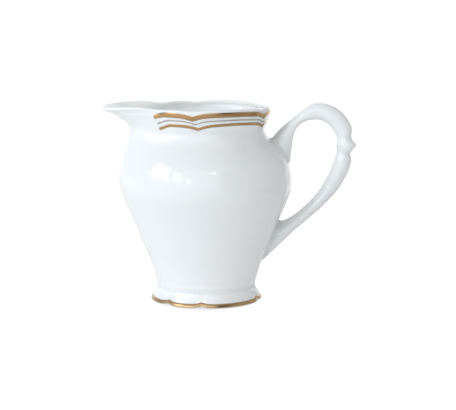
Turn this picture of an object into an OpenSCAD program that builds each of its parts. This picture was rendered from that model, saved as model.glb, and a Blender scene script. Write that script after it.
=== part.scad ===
// Porcelain cream jug: a slip-cast body with a pulled spout and a notched rim, a waisted foot,
// a scroll handle with a knuckle, and fired gold and platinum lines.
// +Z is up, the jug stands on z = 0, the body's axis is the Z axis and the handle is on +X.

/* [Body] */
// Height of the rim above the table, between its notches
jug_h = 101.2; // [97:0.1:106]
// Radius of the belly at its widest
belly_r = 44.3; // [43:0.1:46.5]
// Radius of the neck at its narrowest
neck_r = 30.4; // [29:0.1:32]
// Outer radius of the rim, away from the spout
rim_r = 33.1; // [32.6:0.1:34.6]
// Thickness of the cast wall and floor
wall = 2.8; // [2.2:0.1:3.4]
// Thickness of the lip
lip = 2.2; // [1.8:0.1:2.4]

/* [Spout] */
// Distance from the body's axis to the tip of the spout
spout_reach = 54.5; // [51:0.1:58]
// Half angle that the spout takes up at the rim, in degrees
spout_half_angle = 29.5; // [26:0.5:33]
// Thickness of the spout's edge at its tip
spout_edge = 1.7; // [1.4:0.1:2]

/* [Notches] */
// How far the rim dips at each notch
rim_dip = 0.55; // [0.2:0.05:1]
// How far the wall folds in at each rim notch
rim_fold = 0.5; // [0.2:0.05:1]
// How far the painted lines dip at each notch
line_dip = 1.7; // [0.6:0.05:2]

/* [Foot] */
// Radius of the foot's edge
foot_r = 28.8; // [28.4:0.1:29.6]
// Radius of the waist between the foot and the body
waist_r = 25.4; // [24.4:0.1:26.4]
// Height of the waist above the table
waist_h = 8.1; // [7:0.1:9]
// Outer radius of the ground ring that the jug stands on
ring_r = 28; // [27.6:0.1:28.2]
// Width of the ground ring
ring_w = 2.2; // [1.6:0.1:2.6]

/* [Handle] */
// Distance from the body's axis to the outside of the handle
handle_reach = 77.7; // [75:0.1:81]
// Height of the top of the handle
handle_h = 102.6; // [99:0.1:105]
// Width of the handle across its bow
handle_w = 9; // [7.5:0.1:10]
// Thickness of the slip that joins the cast pieces
slip = 0.4; // [0.3:0.05:0.6]

/* [Lines] */
// Height of the wide gold band
band_h = 2.5; // [1.8:0.1:2.8]
// Height of the platinum line
platinum_h = 0.7; // [0.4:0.1:0.9]
// Height of the lower gold line
lower_line_h = 1.5; // [0.9:0.1:1.7]
// Height of the gold band on the foot
foot_band_h = 1.8; // [1.4:0.1:2.2]
// Thickness of the fired metal
metal = 0.12; // [0.1:0.01:0.2]

/* [Hidden] */

porcelain = "#eef0f2";
raw_porcelain = "#dedbd4";
gold = "#b88f5c";
platinum = "#9a9a9c";

// Heights in the outline are in hundredths of the jug's height.
hs = jug_h / 100;

// Half of the notch angles, from the handle round to the spout. The other half mirrors them.
rim_notches = [27, 100, 136.5];
foot_notches = [18, 95, 133.5];
rim_notch_half_angle = 8;
line_notch_half_angle = 6.8;

// How quickly a notch falls away: a higher power gives rounder notches.
rim_notch_power = 1.7;
line_notch_power = 1.3;

// Steps around the jug, up its outside, over its lip and down its inside.
steps_around = 96;
steps_up = 26;
steps_lip = 4;
steps_down = 20;

// The outline from the waist to the lip: radius, height, spout pull and spout drop.
lip_roll = 0.6;
pull = spout_reach - rim_r - lip_roll;
waist_rise = belly_r - waist_r;
shoulder_rise = belly_r - neck_r;
neck_flare = rim_r - neck_r;
outline = [
    [waist_r, waist_h + slip, 0, 0],
    [waist_r + 0.06 * waist_rise, 12.8 * hs, 0, 0],
    [waist_r + 0.203 * waist_rise, 21.2 * hs, 0, 0],
    [waist_r + 0.428 * waist_rise, 31.1 * hs, 0, 0],
    [waist_r + 0.652 * waist_rise, 41.5 * hs, 0, 0],
    [waist_r + 0.875 * waist_rise, 51.4 * hs, 0, 0],
    [belly_r, 58.8 * hs, 0.01 * pull, 0],
    [neck_r + 0.971 * shoulder_rise, 65.9 * hs, 0.059 * pull, 0],
    [neck_r + 0.833 * shoulder_rise, 72.1 * hs, 0.104 * pull, 0],
    [neck_r + 0.511 * shoulder_rise, 78.1 * hs, 0.238 * pull, 0],
    [neck_r + 0.159 * shoulder_rise, 83.4 * hs, 0.386 * pull, 0],
    [neck_r, 87.3 * hs, 0.453 * pull, 0],
    [neck_r + 0.29 * neck_flare, 90.5 * hs, 0.436 * pull, 0],
    [neck_r + 0.59 * neck_flare, 93.4 * hs, 0.554 * pull, 0],
    [neck_r + 0.9 * neck_flare, 95.7 * hs, 0.713 * pull, 0],
    [rim_r, 97.5 * hs, 0.812 * pull, -0.9],
    [neck_r + 0.95 * neck_flare, 98.7 * hs, pull, -1.1]
];
last = len(outline) - 1;
// Steps of the outline at which the notches fade out, the wall begins to thin towards the lip,
// and the lines can lie at the lowest.
notch_bottom = 9.5;
thin_from = 10;
line_lowest = 9;

// How much wider, in degrees, and how much blunter the spout is at the throat than at the rim.
throat_widening = 8;
throat_power = 2.4;
spout_power = 3;

// The rise and fall of the rim and of the lines: angle from the handle, height above the mean.
rim_wave = [[0, 0.4], [27, 0.3], [63, 0.7], [118, 0.45], [137, 0.6], [152, 1.2], [180, 0.2]];
line_wave = [[0, -0.1], [24, 0.05], [63, 0.6], [118, 0.42], [150, 0.75], [180, 0.75]];

// The handle from the shoulder round to the cone: outer edge x and z, inner edge x and z,
// and half width, as fractions of the handle's reach, height and width.
handle_rows = [
    [0.438, 0.821, 0.560, 0.700, 0.7],
    [0.472, 0.855, 0.567, 0.755, 0.6],
    [0.513, 0.885, 0.579, 0.825, 0.53],
    [0.566, 0.920, 0.606, 0.877, 0.49],
    [0.626, 0.957, 0.656, 0.906, 0.47],
    [0.692, 0.993, 0.708, 0.915, 0.47],
    [0.766, 1.000, 0.762, 0.912, 0.48],
    [0.838, 0.985, 0.805, 0.894, 0.48],
    [0.909, 0.948, 0.835, 0.869, 0.48],
    [0.965, 0.882, 0.856, 0.846, 0.46],
    [0.966, 0.832, 0.869, 0.828, 0.43],
    [0.974, 0.812, 0.868, 0.806, 0.48],
    [0.998, 0.787, 0.864, 0.791, 0.53],
    [0.974, 0.761, 0.866, 0.774, 0.48],
    [0.959, 0.741, 0.868, 0.756, 0.43],
    [0.967, 0.708, 0.854, 0.720, 0.5],
    [0.944, 0.648, 0.829, 0.665, 0.47],
    [0.879, 0.562, 0.779, 0.589, 0.43],
    [0.788, 0.484, 0.718, 0.525, 0.41],
    [0.669, 0.403, 0.617, 0.451, 0.41],
    [0.578, 0.344, 0.540, 0.411, 0.44],
    [0.482, 0.273, 0.510, 0.403, 0.47],
    [0.382, 0.200, 0.492, 0.404, 0.5]
];
steps_along_handle = 64;
steps_round_handle = 20;

// The lines: height of the centre between the notches, angles of the dips, angle of the end,
// how far the line falls towards its end, and how far it lifts on the handle's side.
// They are drawn by hand, so each runs its own way, and they stop short of the spout.
band_line = [97.2 * hs, [24.5, 101, 142], 139.3, 0.4, 0.1];
platinum_line = [94.5 * hs, [24, 98.8, 142], 137, 1.4, 0.1];
lower_line = [92 * hs, [23, 96.4, 142], 135.8, 1.6, 0.5];
line_fall_angle = 14;
line_lift_from = 100;
line_lift_angle = 45;
steps_line = 80;

// ---------- curves ----------

// A smooth curve through rows of numbers. t counts rows.
function along(rows, t) =
    let (i = max(0, min(floor(t), len(rows) - 2)))
    let (u = t - i)
    let (a = rows[max(i - 1, 0)], b = rows[i], c = rows[i + 1], d = rows[min(i + 2, len(rows) - 1)])
    b + 0.5 * u * ((c - a) + u * ((2 * a - 5 * b + 4 * c - d) + u * (3 * b - a - 3 * c + d)));

function reversed(list) = [for (i = [len(list) - 1:-1:0]) list[i]];

function clamp(x, low, high) = max(low, min(high, x));

function ease(x) = let (c = clamp(x, 0, 1)) c * c * (3 - 2 * c);

// The angle from the handle, folded to 0..180 degrees.
function folded(psi) = let (a = abs(((psi % 360) + 360) % 360)) min(a, 360 - a);

// 1 at the middle of a notch, falling away on both sides.
function notch(psi, centres, half, power) =
    max([for (c = centres) exp(-pow(abs(folded(psi) - c) / half, power))]);

function rim_notch(psi) = notch(psi, rim_notches, rim_notch_half_angle, rim_notch_power);

// A value read from a table of angle and value, eased from one entry to the next.
function wave(table, psi) =
    let (a = folded(psi))
    let (k = [for (i = [0:len(table) - 2]) if (a >= table[i][0] && a <= table[i + 1][0]) i][0])
    let (u = ease((a - table[k][0]) / (table[k + 1][0] - table[k][0])))
    table[k][1] * (1 - u) + table[k + 1][1] * u;

// How strongly the notches show at a step of the outline.
function notch_share(t) = ease((t - notch_bottom) / (last - notch_bottom));

// The spout's share of its full pull, which is wider at the throat than at the rim.
function spout_share(psi, t) =
    let (off = 180 - folded(psi))
    let (g = notch_share(t))
    let (half = spout_half_angle + throat_widening * (1 - g))
    exp(-pow(off / half, throat_power + (spout_power - throat_power) * g));

// A point of the outer surface.
function skin(t, psi) =
    let (row = along(outline, t), s = spout_share(psi, t), n = rim_notch(psi))
    let (g = notch_share(t))
    let (r = row[0] + row[2] * s - rim_fold * n * g)
    let (z = row[1] + row[3] * s + g * (wave(rim_wave, psi) - rim_dip * n))
    [r * cos(psi), r * sin(psi), z];

function unit(v) = v / norm(v);

// The direction up the surface, and the direction out of it, from points a little to each side.
step_aside = 0.02;
angle_aside = 0.4;
function up_dir(t, psi) =
    let (above = min(t + step_aside, last))
    unit(skin(above, psi) - skin(above - 2 * step_aside, psi));
function out_dir(t, psi) =
    unit(cross(skin(t, psi + angle_aside) - skin(t, psi - angle_aside), up_dir(t, psi)));

// The wall's thickness, which thins towards the lip and the spout's tip.
function wall_at(t, psi) =
    let (thinnest = lip - (lip - spout_edge) * spout_share(psi, last))
    wall - (wall - thinnest) * ease((t - thin_from) / (last - thin_from));

// A point of the inner surface.
function inside(t, psi) = skin(t, psi) - wall_at(t, psi) * out_dir(t, psi);

// A point of the half-round lip. a goes from 0 outside to 180 inside.
function lip_point(a, psi) =
    let (h = wall_at(last, psi) / 2, n = out_dir(last, psi))
    skin(last, psi) - h * n + h * (cos(a) * n + sin(a) * up_dir(last, psi));

// The step of the outline at a height on the handle's side, found by halving.
function step_at(z, low = 0, high = last, n = 18) =
    n == 0 ? (low + high) / 2
    : let (mid = (low + high) / 2)
      along(outline, mid)[1] < z ? step_at(z, mid, high, n - 1) : step_at(z, low, mid, n - 1);

// ---------- meshes ----------

// A closed solid from rings of equal length, with the first and last ring capped by a centre point.
module lofted(rings, first_centre, last_centre) {
    n = len(rings[0]);
    m = len(rings);
    points = concat([for (ring = rings) each ring], [first_centre, last_centre]);
    sides = [
        for (i = [0:m - 2], j = [0:n - 1])
            each [
                [i * n + j, (i + 1) * n + j, (i + 1) * n + (j + 1) % n],
                [i * n + j, (i + 1) * n + (j + 1) % n, i * n + (j + 1) % n]
            ]
    ];
    first_cap = [for (j = [0:n - 1]) [m * n, j, (j + 1) % n]];
    last_cap = [for (j = [0:n - 1]) [m * n + 1, (m - 1) * n + (j + 1) % n, (m - 1) * n + j]];
    polyhedron(points, concat(sides, first_cap, last_cap), convexity = 8);
}

// ---------- body ----------

module body() {
    // the inside curves into the floor over this height and this share of its radius
    cove_rise = 1;
    cove_share = 0.9;
    outer = [for (i = [0:steps_up]) [for (psi = angles_around()) skin(last * i / steps_up, psi)]];
    over = [
        for (i = [1:steps_lip - 1])
            [for (psi = angles_around()) lip_point(180 * i / steps_lip, psi)]
    ];
    floor_z = waist_h + slip + wall;
    floor_step = step_at(floor_z + cove_rise);
    inner = [
        for (i = [0:steps_down])
            [for (psi = angles_around()) inside(last - (last - floor_step) * i / steps_down, psi)]
    ];
    floor_edge = [for (p = inner[steps_down]) [cove_share * p[0], cove_share * p[1], floor_z]];
    color(porcelain)
        lofted(concat(outer, over, inner, [floor_edge]), [0, 0, waist_h + slip], [0, 0, floor_z]);
}

function angles_around() = [for (i = [0:steps_around - 1]) 360 * i / steps_around];

// ---------- foot ----------

foot_facets = 120;
// Width of the joint between the foot and the body.
joint_w = 4;
// How far a cutting shape reaches past what it cuts.
over = 1;

// The foot's outside from the ground ring up to the waist, moved out by grow.
function foot_outline(grow) =
    let (span = foot_r - waist_r)
    [
        [ring_r + grow, 0],
        [foot_r - 0.3 + grow, 0.45],
        [foot_r + grow, 0.9],
        [foot_r - 0.13 + grow, 1.4],
        [foot_r - 0.3 + grow, 1.9],
        [foot_r - 0.62 + grow, 2.3],
        [foot_r - 0.35 * span + grow, 2.75],
        [foot_r - 0.46 * span + grow, 0.42 * waist_h],
        [foot_r - 0.6 * span + grow, 0.55 * waist_h],
        [foot_r - 0.77 * span + grow, 0.68 * waist_h],
        [foot_r - 0.91 * span + grow, 0.82 * waist_h],
        [waist_r + grow, 0.95 * waist_h],
        [waist_r + grow, waist_h]
    ];

// The foot filled in to the axis, with a shallow fold at each notch above the ground ring.
module foot_block(grow) {
    fold_r = 4;
    fold_depth = 0.75;
    fold_bottom = 0.5;
    fold_h = 7;
    fold_lean = 20;
    difference() {
        rotate_extrude($fn = foot_facets)
            polygon(concat([[0, 0]], foot_outline(grow), [[0, waist_h]]));
        for (a = foot_notches, side = [-1, 1])
            rotate([0, 0, side * a])
                translate([foot_r + fold_r - fold_depth, 0, fold_bottom])
                    rotate([0, -fold_lean, 0]) cylinder(r = fold_r - grow, h = fold_h, $fn = 48);
    }
}

// Open underneath: the recess narrows from the ground ring up to the joint with the body.
module foot() {
    ring_inner = ring_r - ring_w;
    ring_chamfer = 1;
    recess_r = waist_r - joint_w - 0.2;
    color(raw_porcelain)
        difference() {
            foot_block(0);
            rotate_extrude($fn = foot_facets) polygon([
                [0, -over],
                [ring_inner, -over],
                [ring_inner, 0],
                [ring_inner - ring_chamfer, ring_chamfer],
                [recess_r, waist_h - over],
                [recess_r, waist_h + over],
                [0, waist_h + over]
            ]);
        }
}

module foot_slip_joint() {
    color(raw_porcelain)
        translate([0, 0, waist_h])
            difference() {
                cylinder(r = waist_r - 0.05, h = slip, $fn = foot_facets);
                translate([0, 0, -over])
                    cylinder(r = waist_r - joint_w, h = slip + 2 * over, $fn = foot_facets);
            }
}

// ---------- handle ----------

function handle_row(t) =
    let (r = along(handle_rows, t))
    [r[0] * handle_reach, r[1] * handle_h, r[2] * handle_reach, r[3] * handle_h, r[4] * handle_w];

// A ring across the handle. Its corners are slightly squared, so that the sides look flat:
// a power of 1 would make it an ellipse.
side_power = 0.85;
function handle_ring(t) =
    let (r = handle_row(t))
    [
        for (j = [0:steps_round_handle - 1])
            let (a = 360 * j / steps_round_handle, c = cos(a), s = sin(a))
            let (x = (r[0] + r[2]) / 2 + c * (r[0] - r[2]) / 2)
            let (z = (r[1] + r[3]) / 2 + c * (r[1] - r[3]) / 2)
            [x, r[4] * sign(s) * pow(abs(s), side_power), z]
    ];

// A ring laid on the body, size times as large as the handle's end and lifted off by gap.
function root_ring(t, size, gap) =
    let (r = handle_row(t))
    [
        for (j = [0:steps_round_handle - 1])
            let (a = 360 * j / steps_round_handle)
            let (z = (r[1] + r[3]) / 2 + size * cos(a) * (r[1] - r[3]) / 2, y = size * r[4] * sin(a))
            on_body(y, z, gap)
    ];

function on_body(y, z, gap) =
    let (radius = along(outline, step_at(z))[0] + gap)
    [sqrt(radius * radius - y * y), y, z];

function root_centre(t, gap) = let (r = handle_row(t)) on_body(0, (r[1] + r[3]) / 2, gap);

// Sizes of the rings that a root's face and a slip pad are made of: half way out, the handle's
// own edge, and where the slip squeezes out all round.
half_way = 0.5;
edge = 1;
squeezed = 1.1;

module handle() {
    end = len(handle_rows) - 1;
    upper = [for (size = [half_way, edge]) root_ring(0, size, slip)];
    bow = [for (i = [1:steps_along_handle - 1]) handle_ring(end * i / steps_along_handle)];
    lower = [for (size = [edge, half_way]) root_ring(end, size, slip)];
    color(porcelain)
        lofted(reversed(concat(upper, bow, lower)), root_centre(end, slip), root_centre(0, slip));
}

// The slip between a handle root and the body.
function slip_pad(t) =
    concat(
        [for (size = [half_way, squeezed]) root_ring(t, size, 0)],
        [for (size = [edge, half_way]) root_ring(t, size, slip)]
    );

module upper_handle_slip_joint() {
    color(raw_porcelain)
        lofted(reversed(slip_pad(0)), root_centre(0, slip), root_centre(0, 0));
}

module lower_handle_slip_joint() {
    end = len(handle_rows) - 1;
    color(raw_porcelain) lofted(slip_pad(end), root_centre(end, 0), root_centre(end, slip));
}

// ---------- painted lines ----------

// The step of the outline at which a line lies, found by halving. shift moves it up the wall.
function line_step(psi, line, shift, low = line_lowest, high = last, n = 16) =
    n == 0 ? (low + high) / 2
    : let (mid = (low + high) / 2)
      skin(mid, psi)[2] < line_height(psi, line) + shift
          ? line_step(psi, line, shift, mid, high, n - 1)
          : line_step(psi, line, shift, low, mid, n - 1);

function line_height(psi, line) =
    let (a = folded(psi))
    let (fall = line[3] * ease(1 + (a - line[2]) / line_fall_angle))
    let (lift = line[4] * ease((line_lift_from - a) / line_lift_angle))
    let (dip = line_dip * notch(psi, line[1], line_notch_half_angle, line_notch_power))
    line[0] + wave(line_wave, psi) + lift - fall - dip;

// A line's section at an angle: up the outside of the metal and down its inside.
function line_section(psi, line, height, sections) =
    let (steps = [for (k = [0:sections]) line_step(psi, line, height * (k / sections - 0.5))])
    concat(
        [for (t = steps) skin(t, psi) + metal * out_dir(t, psi)],
        [for (k = [sections:-1:0]) skin(steps[k], psi)]
    );

module painted_line(line, height, sections) {
    angles = [for (i = [0:steps_line]) line[2] * (1 - 2 * i / steps_line)];
    rings = [for (psi = angles) line_section(psi, line, height, sections)];
    lofted(rings, middle_of(rings[0]), middle_of(rings[steps_line]));
}

function middle_of(ring) = [for (k = [0:2]) sum([for (p = ring) p[k]]) / len(ring)];
function sum(list, i = 0) = i >= len(list) ? 0 : list[i] + sum(list, i + 1);

module rim_gold_band() {
    color(gold) painted_line(band_line, band_h, 2);
}

module rim_platinum_line() {
    color(platinum) painted_line(platinum_line, platinum_h, 1);
}

module rim_lower_gold_line() {
    color(gold) painted_line(lower_line, lower_line_h, 1);
}

// Starts at the foot's widest and runs up its edge.
module foot_gold_band() {
    bottom = 0.9;
    color(gold)
        intersection() {
            difference() {
                foot_block(metal);
                foot_block(0);
            }
            translate([0, 0, bottom])
                cylinder(r = foot_r + over, h = foot_band_h, $fn = foot_facets);
        }
}

body();
foot();
handle();
foot_slip_joint();
upper_handle_slip_joint();
lower_handle_slip_joint();
rim_gold_band();
rim_platinum_line();
rim_lower_gold_line();
foot_gold_band();
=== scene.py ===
import math

import bpy
import numpy as np
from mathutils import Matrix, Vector

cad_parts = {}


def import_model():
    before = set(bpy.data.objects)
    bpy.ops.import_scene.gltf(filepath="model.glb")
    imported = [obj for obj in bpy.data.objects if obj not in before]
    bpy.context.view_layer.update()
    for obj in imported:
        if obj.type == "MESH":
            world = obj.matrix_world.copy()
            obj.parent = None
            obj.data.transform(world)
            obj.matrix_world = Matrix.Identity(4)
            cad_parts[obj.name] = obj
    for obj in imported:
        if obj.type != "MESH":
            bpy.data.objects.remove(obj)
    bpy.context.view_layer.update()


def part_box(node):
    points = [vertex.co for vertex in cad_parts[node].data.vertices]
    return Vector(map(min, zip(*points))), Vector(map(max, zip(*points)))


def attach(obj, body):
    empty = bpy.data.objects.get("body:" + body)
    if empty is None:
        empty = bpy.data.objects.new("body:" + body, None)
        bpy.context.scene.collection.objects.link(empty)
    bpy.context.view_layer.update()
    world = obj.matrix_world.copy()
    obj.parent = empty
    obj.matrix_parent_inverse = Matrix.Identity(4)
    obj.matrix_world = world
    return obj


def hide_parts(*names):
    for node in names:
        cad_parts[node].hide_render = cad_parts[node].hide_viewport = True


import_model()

# Porcelain cream jug. Lengths are millimetres until a mesh is made, in the CAD's own frame: the
# jug stands on z = 0, its axis is Z, the handle is on +X and the spout on -X.
# psi is an angle round the jug, in degrees from the handle. t is a place along a table of rows:
# it counts rows, and may fall between two of them.
MM = 0.001
BODY = "root"

# ---------- sizes ----------


def box_mm(node):
    """The low and the high corner of a CAD node's box."""
    low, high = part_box(node)
    return np.array(low) / MM, np.array(high) / MM


body_low, body_high = box_mm("body")
foot_high = box_mm("foot")[1]
handle_high = box_mm("handle")[1]
seam_high = box_mm("foot_slip_joint")[1]

BELLY_SWELL = 0.11  # the outline swells this far past its widest row
BOW_SWELL = 0.04  # the handle's bow rises this far past its highest row
POINT_REACH = 0.998  # where the knuckle's point is, as a share of the handle's reach
SEAM_INSET = 0.05  # the foot's slip ends this far inside the waist

BELLY_R = body_high[1] - BELLY_SWELL
BODY_BASE = body_low[2]
FOOT_R = foot_high[0]
WAIST_R = seam_high[0] + SEAM_INSET
WAIST_H = foot_high[2]
RING_R = 28.0
RING_W = 2.2
NECK_R = 30.4
RIM_R = 33.1
JUG_H = 101.2
HS = JUG_H / 100  # a hundredth of the height
WALL = 2.8
LIP = 2.2
SPOUT_EDGE = 1.7
THIN_FROM = 10  # the wall thins from this row up
METAL = 0.05

# the spout: how far it is pulled, and its half width, which spreads and softens lower down
SPOUT_PULL = 20.8
SPOUT_HALF = 29.5
SPOUT_SPREAD = 8
SPOUT_POWER = 3
SPOUT_SOFTENING = 0.6

# notches of the rim and folds of the foot, mirrored about the plane of handle and spout
RIM_NOTCHES = (27.0, 100.0, 136.5)
RIM_NOTCH_HALF = 8.0
RIM_NOTCH_POWER = 1.7
RIM_DIP = 0.55
RIM_FOLD = 0.5
NOTCH_BOTTOM = 9.5  # the notches run out at this row
FOOT_NOTCHES = (18.0, 95.0, 133.5)
FOOT_NOTCH_HALF = 5.6
FOOT_NOTCH_POWER = 1.35
FOOT_FOLD = 0.85
FOOT_RISE = 0.95

BELLY_SPAN = BELLY_R - WAIST_R
NECK_SPAN = BELLY_R - NECK_R
FLARE = RIM_R - NECK_R
# radius, height, spout pull, spout drop; from the base to the lip
OUTLINE = np.array([
    (WAIST_R, BODY_BASE, 0, 0),
    (WAIST_R + 0.06 * BELLY_SPAN, 12.8 * HS, 0, 0),
    (WAIST_R + 0.203 * BELLY_SPAN, 21.2 * HS, 0, 0),
    (WAIST_R + 0.428 * BELLY_SPAN, 31.1 * HS, 0, 0),
    (WAIST_R + 0.652 * BELLY_SPAN, 41.5 * HS, 0, 0),
    (WAIST_R + 0.875 * BELLY_SPAN, 51.4 * HS, 0, 0),
    (BELLY_R, 58.8 * HS, 0.01 * SPOUT_PULL, 0),
    (NECK_R + 0.971 * NECK_SPAN, 65.9 * HS, 0.059 * SPOUT_PULL, 0),
    (NECK_R + 0.833 * NECK_SPAN, 72.1 * HS, 0.104 * SPOUT_PULL, 0),
    (NECK_R + 0.511 * NECK_SPAN, 78.1 * HS, 0.238 * SPOUT_PULL, 0),
    (NECK_R + 0.159 * NECK_SPAN, 83.4 * HS, 0.386 * SPOUT_PULL, 0),
    (NECK_R, 87.3 * HS, 0.453 * SPOUT_PULL, 0),
    (NECK_R + 0.29 * FLARE, 90.5 * HS, 0.436 * SPOUT_PULL, 0),
    (NECK_R + 0.59 * FLARE, 93.4 * HS, 0.554 * SPOUT_PULL, 0),
    (NECK_R + 0.9 * FLARE, 95.7 * HS, 0.713 * SPOUT_PULL, 0),
    (RIM_R, 97.5 * HS, 0.812 * SPOUT_PULL, -0.9),
    (NECK_R + 0.95 * FLARE, 98.7 * HS, SPOUT_PULL, -1.1),
])
LAST = len(OUTLINE) - 1
# angle from the handle, and how far the rim rises there
RIM_WAVE = np.array([
    (0, 0.4), (27, 0.3), (63, 0.7), (118, 0.45), (137, 0.6), (152, 1.2), (180, 0.2),
])

FOOT_SPAN = FOOT_R - WAIST_R
# radius, height, share of the fold, share of the rise at a fold; from the recess round to the waist
FOOT_PROFILE = np.array([
    (WAIST_R - 4.2, WAIST_H, 0, 0),
    (WAIST_R - 3.9, 6.4, 0, 0),
    (WAIST_R - 2.9, 4.4, 0, 0),
    (RING_R - RING_W - 0.6, 2.3, 0, 0),
    (RING_R - RING_W - 0.1, 1.1, 0, 0),
    (RING_R - RING_W + 0.05, 0.35, 0, 0),
    (RING_R - RING_W + 0.3, 0.04, 0, 0),
    (RING_R - RING_W + 0.65, 0, 0, 0),
    (RING_R - 0.65, 0, 0.1, 0),
    (RING_R - 0.3, 0.03, 0.25, 0),
    (RING_R + 0.05, 0.25, 0.5, 0.1),
    (FOOT_R - 0.3, 0.5, 0.8, 0.5),
    (FOOT_R - 0.02, 0.88, 1, 0.9),
    (FOOT_R - 0.12, 1.35, 1, 1),
    (FOOT_R - 0.28, 1.85, 1, 1),
    (FOOT_R - 0.6, 2.28, 0.95, 0.95),
    (FOOT_R - 1.08, 2.7, 0.85, 0.8),
    (FOOT_R - 0.56 * FOOT_SPAN, 0.53 * WAIST_H, 0.62, 0.5),
    (FOOT_R - 0.77 * FOOT_SPAN, 0.68 * WAIST_H, 0.38, 0.25),
    (FOOT_R - 0.92 * FOOT_SPAN, 0.83 * WAIST_H, 0.16, 0.08),
    (WAIST_R, 0.95 * WAIST_H, 0.03, 0),
    (WAIST_R, WAIST_H, 0, 0),
])
FOOT_LAST = len(FOOT_PROFILE) - 1

HANDLE_REACH = handle_high[0] / POINT_REACH
HANDLE_H = handle_high[2] - BOW_SWELL
HANDLE_W = 9.0
# outer edge x and z, inner edge x and z, half width; shares of reach, height and width
HANDLE_ROWS = np.array([
    (0.438, 0.821, 0.560, 0.700, 0.7),
    (0.472, 0.855, 0.567, 0.755, 0.6),
    (0.513, 0.885, 0.579, 0.825, 0.53),
    (0.566, 0.920, 0.606, 0.877, 0.49),
    (0.626, 0.957, 0.656, 0.906, 0.47),
    (0.692, 0.993, 0.708, 0.915, 0.47),
    (0.766, 1.000, 0.762, 0.912, 0.48),
    (0.838, 0.985, 0.805, 0.894, 0.48),
    (0.909, 0.948, 0.835, 0.869, 0.48),
    (0.965, 0.882, 0.856, 0.846, 0.46),
    (0.966, 0.832, 0.869, 0.828, 0.43),
    (0.974, 0.812, 0.868, 0.806, 0.48),
    (0.998, 0.787, 0.864, 0.791, 0.53),
    (0.974, 0.761, 0.866, 0.774, 0.48),
    (0.959, 0.741, 0.868, 0.756, 0.43),
    (0.967, 0.708, 0.854, 0.720, 0.5),
    (0.944, 0.648, 0.829, 0.665, 0.47),
    (0.879, 0.562, 0.779, 0.589, 0.43),
    (0.788, 0.484, 0.718, 0.525, 0.41),
    (0.669, 0.403, 0.617, 0.451, 0.41),
    (0.578, 0.344, 0.540, 0.411, 0.44),
    (0.482, 0.273, 0.510, 0.403, 0.47),
    (0.382, 0.200, 0.492, 0.404, 0.5),
])
# row by row: how keeled the side is, how flat it is, and how much narrower its outer edge is
HANDLE_SIDE = np.array([
    (0.0, 0.62, 0.3),
    (0.0, 0.64, 0.28),
    (0.0, 0.68, 0.2),
    (0.0, 0.76, 0.06),
    (0.0, 0.9, 0.0),
    (0.0, 0.95, 0.0),
    (0.0, 0.95, 0.0),
    (0.0, 0.95, 0.0),
    (0.0, 0.95, 0.0),
    (0.0, 0.95, 0.0),
    (0.05, 0.9, 0.0),
    (0.05, 0.85, 0.0),
    (0.1, 0.85, 0.0),
    (0.05, 0.85, 0.0),
    (0.05, 0.9, 0.0),
    (0.1, 0.9, 0.0),
    (0.16, 0.9, 0.0),
    (0.22, 0.9, 0.0),
    (0.3, 0.9, 0.0),
    (0.36, 0.9, 0.0),
    (0.42, 0.85, 0.0),
    (0.45, 0.8, 0.0),
    (0.45, 0.8, 0.0),
])
HANDLE_END = len(HANDLE_ROWS) - 1
KNUCKLE_NECKS = (10.2, 13.9)  # rows of the two necks beside the knuckle
RIDGE_ROUND = 0.3

# ---------- curves ----------


def along(rows, t):
    """A smooth curve through rows of numbers. t counts rows."""
    t = np.asarray(t, float)
    i = np.clip(np.floor(t).astype(int), 0, len(rows) - 2)
    u = (t - i)[..., None]
    a, b = rows[np.maximum(i - 1, 0)], rows[i]
    c, d = rows[i + 1], rows[np.minimum(i + 2, len(rows) - 1)]
    return b + 0.5 * u * ((c - a) + u * ((2 * a - 5 * b + 4 * c - d) + u * (3 * b - a - 3 * c + d)))


def ease(x):
    """A smooth step from 0 to 1."""
    c = np.clip(x, 0, 1)
    return c * c * (3 - 2 * c)


def mix(a, b, share):
    return a + (b - a) * share


def unit(v):
    return v / np.linalg.norm(v, axis=-1, keepdims=True)


def bent(start, corner, end, shares):
    """Points on the arc that leaves start for corner and comes into end from it."""
    return [(1 - u) ** 2 * start + 2 * u * (1 - u) * corner + u * u * end for u in shares]


def solve(f, low, high, steps=30):
    """Where the rising f crosses zero, by halving, for whole arrays at once."""
    low, high = np.array(low, float), np.array(high, float)
    for _ in range(steps):
        mid = (low + high) / 2
        below = f(mid) < 0
        low, high = np.where(below, mid, low), np.where(below, high, mid)
    return (low + high) / 2


def folded(psi):
    """The angle from the handle on either side, 0 to 180."""
    a = np.mod(np.abs(psi), 360)
    return np.minimum(a, 360 - a)


def notch(psi, centres, half, power):
    """1 at each centre, falling to 0 on both sides; a low power makes a sharp point."""
    f = folded(psi)
    return np.max([np.exp(-((np.abs(f - c) / half) ** power)) for c in centres], axis=0)


def wave(table, psi):
    """A height that eases from one of the table's angles to the next."""
    a = folded(psi)
    k = np.clip(np.searchsorted(table[:, 0], a, side="right") - 1, 0, len(table) - 2)
    u = ease((a - table[k, 0]) / (table[k + 1, 0] - table[k, 0]))
    return mix(table[k, 1], table[k + 1, 1], u)


# ---------- the body's surface ----------

SLIGHT_STEP = 0.02
SLIGHT_TURN = 0.4


def notch_share(t):
    """How much of the rim's notches and wave shows at t."""
    return ease((np.asarray(t, float) - NOTCH_BOTTOM) / (LAST - NOTCH_BOTTOM))


def spout_share(psi, t):
    """How much of the spout's pull shows at psi and t."""
    low = 1 - notch_share(t)
    half = SPOUT_HALF + SPOUT_SPREAD * low
    return np.exp(-(((180 - folded(psi)) / half) ** (SPOUT_POWER - SPOUT_SOFTENING * low)))


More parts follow.
